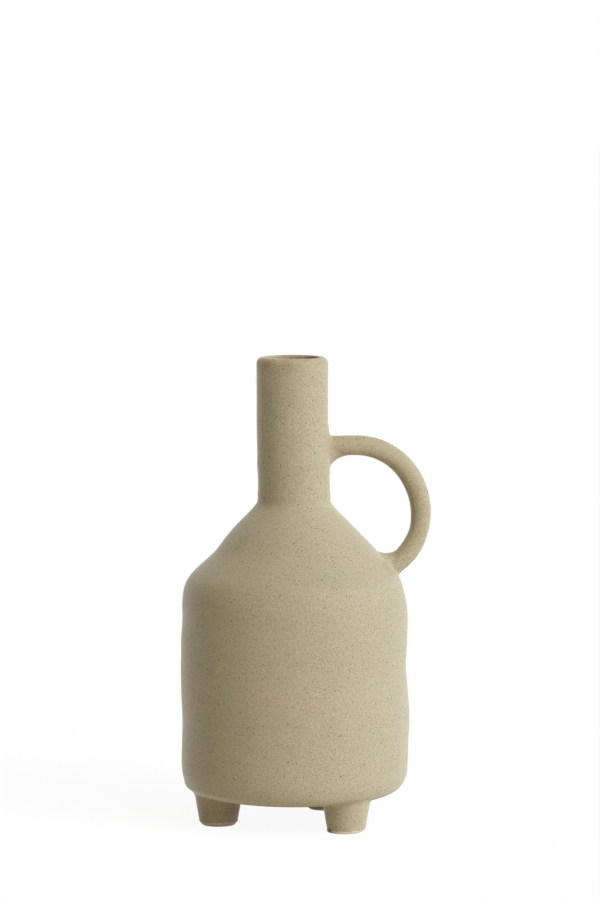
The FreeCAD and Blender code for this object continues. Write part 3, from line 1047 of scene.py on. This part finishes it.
@dataclass
class Vase:
    """The whole vase: its pieces in the order that they are made, each in its finish."""

    form: VaseForm
    hand: HandWork
    slot: str = "stoneware"
    feet: tuple[tuple[str, float, float, float], ...] = (
        ("foot_left", 184.4, 2.5 * MM, 0.0), ("foot_front", 301.7, 1.8 * MM, 1.3 * MM),
        ("foot_rear", 56.0, 2.0 * MM, 0.0))

    def pieces(self) -> list[tuple[TurnedPiece | Limb, Bare]]:
        """The pieces, with where each shows its clay."""
        floor = [(Floor(self.form, self.hand), Bare.UNDERSIDE)]
        upper = [(kind(self.form, self.hand), Bare.NOWHERE) for kind in (Belly, Shoulder, Neck, RingHandle)]
        feet = [(PegFoot(self.form, self.hand, node, f"peg_{node}", turn=turn, bevel=bevel, slip=slip),
                 Bare.SOLE) for node, turn, bevel, slip in self.feet]
        return floor + upper + feet

    def build(self) -> None:
        """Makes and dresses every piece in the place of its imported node."""
        finishes = {bare: Stoneware(self.form, bare).build() for bare in Bare}
        for piece, bare in self.pieces():
            made = piece.build()
            made.data.materials.append(finishes[bare])
            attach(made, "root")
            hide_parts(piece.node)
            log.info("%s: %d faces, in place of %s", made.name, len(made.data.polygons), piece.node)


@dataclass(frozen=True)
class Lamp:
    """A wide, far lamp: its turn from the camera's side and its rise, how wide it looks, and its share
    of the light that a surface needs to render as its colour is written."""

    name: str
    turn: float
    rise: float
    width: float
    share: float
    colour: tuple[float, float, float]


@dataclass
class Studio:
    """The white floor, the light round the vase and the camera."""

    form: VaseForm
    azimuth: float = -10.0
    tilt: float = 5.38
    camera_distance: float = 2655 * MM
    camera_height: float = 490.3 * MM
    aside: float = 3.85 * MM
    focal_pixels: float = 4165
    picture_pixels: float = 900
    sensor: float = 36
    lamps: tuple[Lamp, ...] = (
        Lamp("key_light", 46, 32, 42, 0.82, (0.99, 1.0, 1.02)),
        Lamp("side_light", 86, 12, 40, 0.36, (0.62, 0.94, 1.38)),
        Lamp("back_light", -140, 20, 60, 0.35, (1.0, 0.96, 0.80)))
    fill_share: float = 0.06
    fill_colour: Colour = (1.0, 0.88, 0.60, 1)
    floor_size: float = 40
    floor_drop: float = 0.2 * MM
    floor_paint: Colour = (0.85, 0.80, 0.66, 1)
    shadow_share: float = 0.1

    def direction(self, turn: float, rise: float) -> Points:
        """The direction from the vase towards a place at a turn from the camera's, and a rise."""
        angle, height = math.radians(self.azimuth + turn), math.radians(rise)
        level = math.cos(height)
        return np.array([math.sin(angle) * level, -math.cos(angle) * level, math.sin(height)])

    def place_camera(self) -> None:
        """Sets the camera back from a point beside the vase's axis, tilted down a little."""
        data = bpy.data.cameras.new("camera")
        data.sensor_width = self.sensor
        data.lens = self.sensor * self.focal_pixels / self.picture_pixels
        camera = placed("camera", data)
        back, right = self.direction(0, 0), self.direction(QUARTER_TURN, 0)
        centre = np.array([self.form.axis, 0, self.camera_height])
        camera.location = centre + self.aside * right + self.camera_distance * back
        camera.rotation_euler = (math.radians(QUARTER_TURN - self.tilt), 0, math.radians(self.azimuth))
        bpy.context.scene.camera = camera

    def lay_floor(self) -> None:
        """Lays the floor. What sees it is shown white paper under the vase's shadow: a part of the lit
        paint, and a glow that makes up the rest of the way to white."""
        half, level = self.floor_size / 2, -self.floor_drop
        mesh = bpy.data.meshes.new("studio_floor")
        corners = [(x * half, y * half, level) for x, y in ((-1, -1), (1, -1), (1, 1), (-1, 1))]
        mesh.from_pydata(corners, [], [(0, 1, 2, 3)])
        floor = placed("studio_floor", mesh)
        material = bpy.data.materials.new("white_floor")
        bench = Bench(material)
        lit = self.fill_share + sum(lamp.share * math.sin(math.radians(lamp.rise)) for lamp in self.lamps)
        paint = bench.output("ShaderNodeBsdfDiffuse", {0: self.floor_paint})
        faint = bench.output("ShaderNodeBsdfDiffuse", {0: (self.shadow_share,) * 3 + (1,)})
        glow = bench.output("ShaderNodeEmission", {0: WHITE, 1: 1 - self.shadow_share * lit})
        paper = bench.output("ShaderNodeAddShader", {0: faint, 1: glow})
        shown = bench.output("ShaderNodeMixShader", {0: bench.seen(), 1: paint, 2: paper})
        bench.node("ShaderNodeOutputMaterial", {0: shown})
        mesh.materials.append(material)

    def hang(self, lamp: Lamp) -> None:
        """Hangs a lamp that lights the clay softly and leaves no bright spot in the glaze."""
        data = bpy.data.lights.new(lamp.name, "SUN")
        data.energy = math.pi * lamp.share
        data.color = lamp.colour
        data.angle = math.radians(lamp.width)
        hung = placed(lamp.name, data)
        hung.location = self.direction(lamp.turn, lamp.rise)
        hung.rotation_euler = (math.radians(QUARTER_TURN - lamp.rise), 0,
                               math.radians(self.azimuth + lamp.turn))
        hung.visible_glossy = False

    def fill(self) -> None:
        """Fills the room with even light, before a white backdrop."""
        world = bpy.data.worlds.new("studio")
        bpy.context.scene.world = world
        bench = Bench(world)
        room = bench.output("ShaderNodeBackground", {0: self.fill_colour, 1: self.fill_share})
        backdrop = bench.output("ShaderNodeBackground", {0: WHITE, 1: 1.0})
        shown = bench.output("ShaderNodeMixShader", {0: bench.seen(), 1: room, 2: backdrop})
        bench.node("ShaderNodeOutputWorld", {0: shown})

    def build(self) -> None:
        """Sets up the whole studio."""
        self.place_camera()
        self.lay_floor()
        for lamp in self.lamps:
            self.hang(lamp)
        self.fill()
        bpy.context.scene.view_settings.view_transform = "Standard"
        log.info("studio: floor, %d lamps, even fill and camera", len(self.lamps))


def main() -> None:
    """Builds the vase and the studio."""
    logging.basicConfig(level=logging.INFO, format="%(name)s %(message)s")
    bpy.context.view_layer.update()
    form = VaseForm.from_frame()
    Vase(form, HandWork(form)).build()
    Studio(form).build()


if __name__ == "__main__":
    main()
